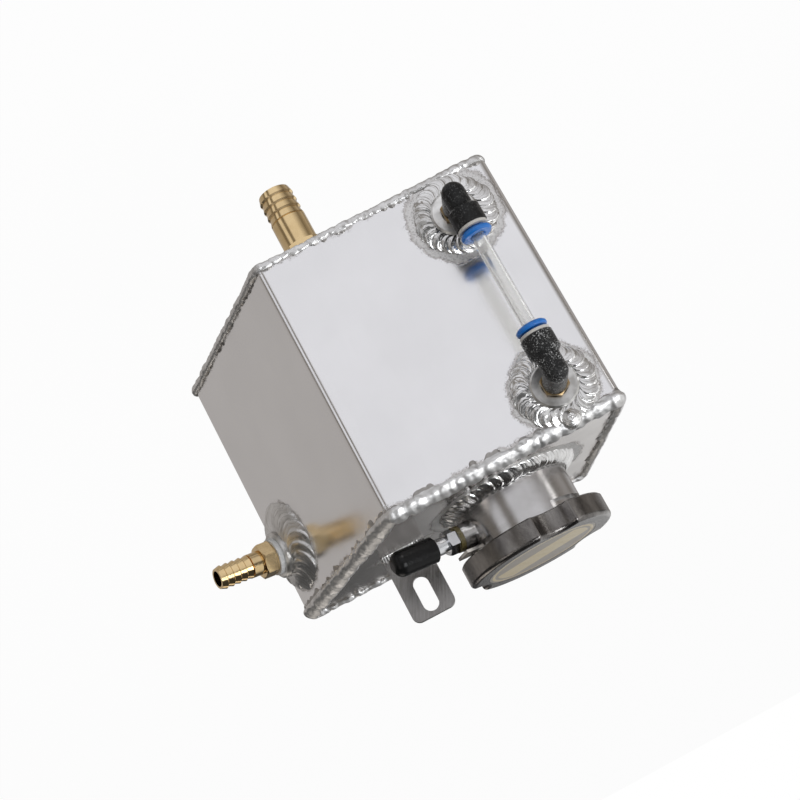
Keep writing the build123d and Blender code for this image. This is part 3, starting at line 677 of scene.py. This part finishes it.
# The rings round the neck, the two gauge bungs, the inlet and the outlet
finish = ripple_finish("neck weld ripples", neck_centre, X, Y, 25.2, 7.2, 84, 1.9, -1, 0.1)
stations = ring_stations(neck_centre, X, Y, Z, 25.2, 7.0, 42, 3.2, lean=0.75, flip=-1, step=10)
lay_bead("neck_bead", stations, ["neck_weld"], finish, 0.34, 1)
for name, height in (("lower", GAUGE_LOW), ("upper", GAUGE_HIGH)):
    centre = at(GAUGE_X, 0, height)
    finish = ripple_finish(f"{name} gauge weld ripples", centre, X, Z, 9.6, 8.0, 50, 2.5, -1, 0.1)
    stations = ring_stations(centre, X, Z, -Y, 9.9, 7.6, 26, 2.4, lean=0.25, flip=-1, step=16)
    lay_bead(f"gauge_bead_{name}", stations, [f"gauge_weld_{name}"], finish, 0.24, 1, 0.15)

# The last blob of the upper gauge ring: smaller coins stacked outward
stations = []
for i, size in enumerate((4.4, 4.0, 3.3, 2.3)):
    spot = at(23.6, -1.6, 118.8) - Y * i * 0.5 * MM
    stations.append((spot, X, -Y, size * MM, 3.2 * MM, 0))
finish = crater_finish(at(23.6, -3, 118.8))
lay_bead("gauge_bead_crater", stations, ["gauge_weld_upper"], finish, 0.22, 6, 0, SOFT_COIN)

centre = at(*INLET)
finish = ripple_finish("inlet weld ripples", centre, INLET_ALONG, Z, 10.5, 12.0, 52, 2.4, 1, 0.1, 0.42, 0.28)
stations = ring_stations(centre, INLET_ALONG, Z, INLET_OUT, 10.3, 9.6, 26, 3.2, 0.5, 190, 0.35, 1, 11)
lay_bead("inlet_bead", stations, ["side_bung_weld"], finish, 0.3, 1, 0.15)
centre = at(*OUTLET, 0)
finish = ripple_finish("outlet weld ripples", centre, X, Y, 13.5, 5.5, 60, 1.4)
stations = ring_stations(centre, X, Y, -Z, 13.5, 5.0, 34, 2.4, lean=0.6)
lay_bead("outlet_bead", stations, ["outlet_bung_weld"], finish, 0.3, 1)

# The straight beads: the wall's closing seam and both sides of the bracket tab's foot
stations = row_stations(Vector((*REAR_SEAM, 6)), Z * 109.5, 47, Z, Y, 2.6, 2.1, (0.9, 1.1), (3, 7))
lay_bead("rear_seam_bead", stations, ["wrap_seam_weld"], bar_finish("seam weld ripples", Z, 1.3), 0.35, 1)
bar = bar_finish("tab weld ripples", X, 1.2)
for name, wall, side in (("front", 60.0, -1), ("rear", 63.0, 1)):
    start = Vector((96.4, wall + side * 0.9, TANK_HEIGHT + 0.7))
    outward = (Z + Y * side).normalized()
    stations = row_stations(start, X * 16.4, 9, X, outward, 2.2, 1.7, None, (4, 9))
    lay_bead(f"tab_bead_{name}", stations, [f"tab_weld_{name}"], bar, 0.3, 1)
for coin in (SOFT_COIN, CRISP_COIN):
    bpy.data.objects.remove(coin)


# Springs of the cap

def lay_spring(name, stands_for, body):
    """A copy of a CAD spring, its doubles merged and shaded smooth, that rides on its body."""
    spring = bpy.data.objects.new(name, nodes[stands_for].data.copy())
    bpy.context.collection.objects.link(spring)
    select_only(spring)
    bpy.ops.object.mode_set(mode="EDIT")
    bpy.ops.mesh.select_all(action="SELECT")
    bpy.ops.mesh.remove_doubles(threshold=0.001 * MM)
    bpy.ops.mesh.normals_make_consistent(inside=False)
    bpy.ops.object.mode_set(mode="OBJECT")
    bpy.ops.object.shade_smooth_by_angle(angle=math.radians(40))
    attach(spring, body)
    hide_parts(stands_for)
    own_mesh(spring)
    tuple(Z)


lay_spring("pressure_coil", "pressure_spring", "cap")
lay_spring("vacuum_coil", "vacuum_spring", "pressure_valve")

for piece in nodes.values():
    select_only(piece)
    bpy.ops.object.shade_smooth_by_angle(angle=math.radians(30))

# Floor, lights and camera

# How brightly the floor glows in metal, by its bearing from the tank in degrees: painted pools of light and
# dim gaps.
FLOOR_IN_METAL = (
    (-180, 0.34), (-162, 0.16), (-140, 0.60), (-122, 0.96), (-76, 0.96), (-70, 0.2), (-58, 0.2),
    (-53, 0.95), (-37, 0.95), (-32, 0.15), (-18, 0.2), (-8, 0.46), (80, 0.52), (108, 0.24), (130, 0.62),
    (150, 0.24), (165, 0.5),
)


def seen_directly(tree, path):
    """1 for what the camera sees, also through clear plastic, and 0 for light that reaches a surface."""
    return sums(tree, "MAXIMUM", path.outputs["Is Camera Ray"], path.outputs["Is Transmission Ray"])


def pools_of_light(tree):
    """The floor's painted glow as metal sees it, warmer where it is dim."""
    point = place(tree)
    bearing = sums(tree, "ARCTAN2", along_axis(tree, point, (0, 1, 0)), along_axis(tree, point, (1, 0, 0)))
    node = tree.nodes.new("ShaderNodeValToRGB")
    ramp = node.color_ramp
    for i, (degrees, level) in enumerate(FLOOR_IN_METAL):
        stop = ramp.elements[0] if i == 0 else ramp.elements.new((degrees + 180) / 360)
        warmth = max(0, 0.7 - level)
        stop.color = (level * 0.985, level * (0.985 - 0.27 * warmth), level * (1.02 - 0.62 * warmth), 1)
    ramp.elements.remove(ramp.elements[-1])
    ramp.elements.new(0.999).color = ramp.elements[0].color
    tree.links.new(spread(tree, bearing, -math.pi, math.pi), node.inputs[0])
    return node.outputs["Color"]


def stage_finish(name, colour, glow):
    """Plain white, bright to the camera and through clear plastic, that still takes a soft shadow, and glows
    to metal with painted pools of light.
    """
    material, tree, shader = new_finish(name, Base_Color=(*colour, 1), Roughness=0.9)
    path = tree.nodes.new("ShaderNodeLightPath")
    seen = seen_directly(tree, path)
    shine = tree.nodes.new("ShaderNodeEmission")
    tree.links.new(tint(tree, seen, pools_of_light(tree), (1, 1, 1)), shine.inputs["Color"])
    mix = tree.nodes.new("ShaderNodeMixShader")
    direct = sums(tree, "MULTIPLY", seen, glow)
    # Glossy rays see mostly the painted glow, and the camera sees the plain white.
    share = sums(tree, "MULTIPLY_ADD", path.outputs["Is Glossy Ray"], 0.85, direct)
    for socket, source in enumerate((share, shader.outputs[0], shine.outputs[0])):
        tree.links.new(source, mix.inputs[socket])
    tree.links.new(mix.outputs[0], tree.nodes["Material Output"].inputs["Surface"])
    return material


bpy.ops.object.select_all(action="DESELECT")
bpy.ops.mesh.primitive_plane_add(size=80, location=(0, 0, -0.30))
floor = bpy.context.object
floor.name = "floor"
floor.data.materials.append(stage_finish("floor white", (0.86, 0.86, 0.86), 0.96))

world = bpy.data.worlds.new("studio")
bpy.context.scene.world = world
world.use_nodes = True
tree = world.node_tree
background = tree.nodes["Background"]
seen = seen_directly(tree, tree.nodes.new("ShaderNodeLightPath"))
direction = tree.nodes.new("ShaderNodeTexCoord").outputs["Generated"]


def glow_from(aim, start, full):
    """How near a direction is to the middle of a soft source, from 0 to 1."""
    return spread(tree, along_axis(tree, direction, Vector(aim).normalized()), start, full)


# The room that metal shows: a dim base and four soft sources, each (direction, start, full, strength)
room = 0.05
for aim, start, full, strength in (
    ((-0.15, -0.97, -0.1), 0.4, 1.0, 0.85),
    ((0.0, 0.95, 0.25), 0.6, 1.0, 0.05),
    ((-0.45, 0.85, 0.25), 0.90, 0.97, 0.8),
    ((-0.75, 0.1, 0.65), 0.7, 0.9, 0.8),
):
    room = sums(tree, "MULTIPLY_ADD", glow_from(aim, start, full), strength, room)
behind_camera = glow_from((0.12, -0.95, 0.3), 0.925, 0.975)
room = sums(tree, "MULTIPLY", room, sums(tree, "MULTIPLY_ADD", behind_camera, -0.85, 1.0))
feed(tree, background.inputs["Strength"], sums(tree, "MAXIMUM", seen, room))
background.inputs["Color"].default_value = (1, 1, 1, 1)


def soft_lamp(name, place_at, aim, size, power, colour=(1, 1, 1)):
    """A rectangular lamp of a size in metres and a power in watts, turned to its aim."""
    data = bpy.data.lights.new(name, "AREA")
    data.shape = "RECTANGLE"
    data.size, data.size_y = size
    data.energy = power
    data.color = colour
    lamp = bpy.data.objects.new(name, data)
    bpy.context.collection.objects.link(lamp)
    lamp.location = place_at
    lamp.rotation_euler = (Vector(aim) - Vector(place_at)).to_track_quat("-Z", "Y").to_euler()


middle = at(75, 50, 60)
soft_lamp("key", (-0.45, -0.95, 0.75), middle, (0.7, 0.7), 8, (0.95, 0.97, 1.0))
soft_lamp("fill", (1.0, -0.7, 0.5), middle, (0.3, 0.7), 1.0, (1, 0.95, 0.9))
soft_lamp("left strip", (-0.62, -0.25, 0.1), middle, (0.1, 0.6), 0.35)
soft_lamp("back", (0.9, 1.1, 1.2), middle, (1.0, 1.0), 3.2, (1, 0.93, 0.85))

# The camera was solved from the photo: its focal length in pixels, and rows for right, down and ahead.
FOCAL_PIXELS, PHOTO_WIDTH, SENSOR = 1635.16, 800, 36
camera_data = bpy.data.cameras.new("camera")
camera_data.sensor_width = SENSOR
camera_data.lens = FOCAL_PIXELS / PHOTO_WIDTH * SENSOR
camera = bpy.data.objects.new("camera", camera_data)
bpy.context.collection.objects.link(camera)
bpy.context.scene.camera = camera
look = Matrix((
    (-0.88552, 0.06254, 0.46037),
    (0.45855, 0.27693, 0.84441),
    (-0.07468, 0.95885, -0.27391),
))
camera.matrix_world = (look.transposed() @ Matrix.Diagonal((1, -1, -1))).to_4x4()
camera.location = at(128.5, -626.6, 258.4)
camera_data.clip_start = 0.01

bpy.context.scene.view_settings.view_transform = "Standard"
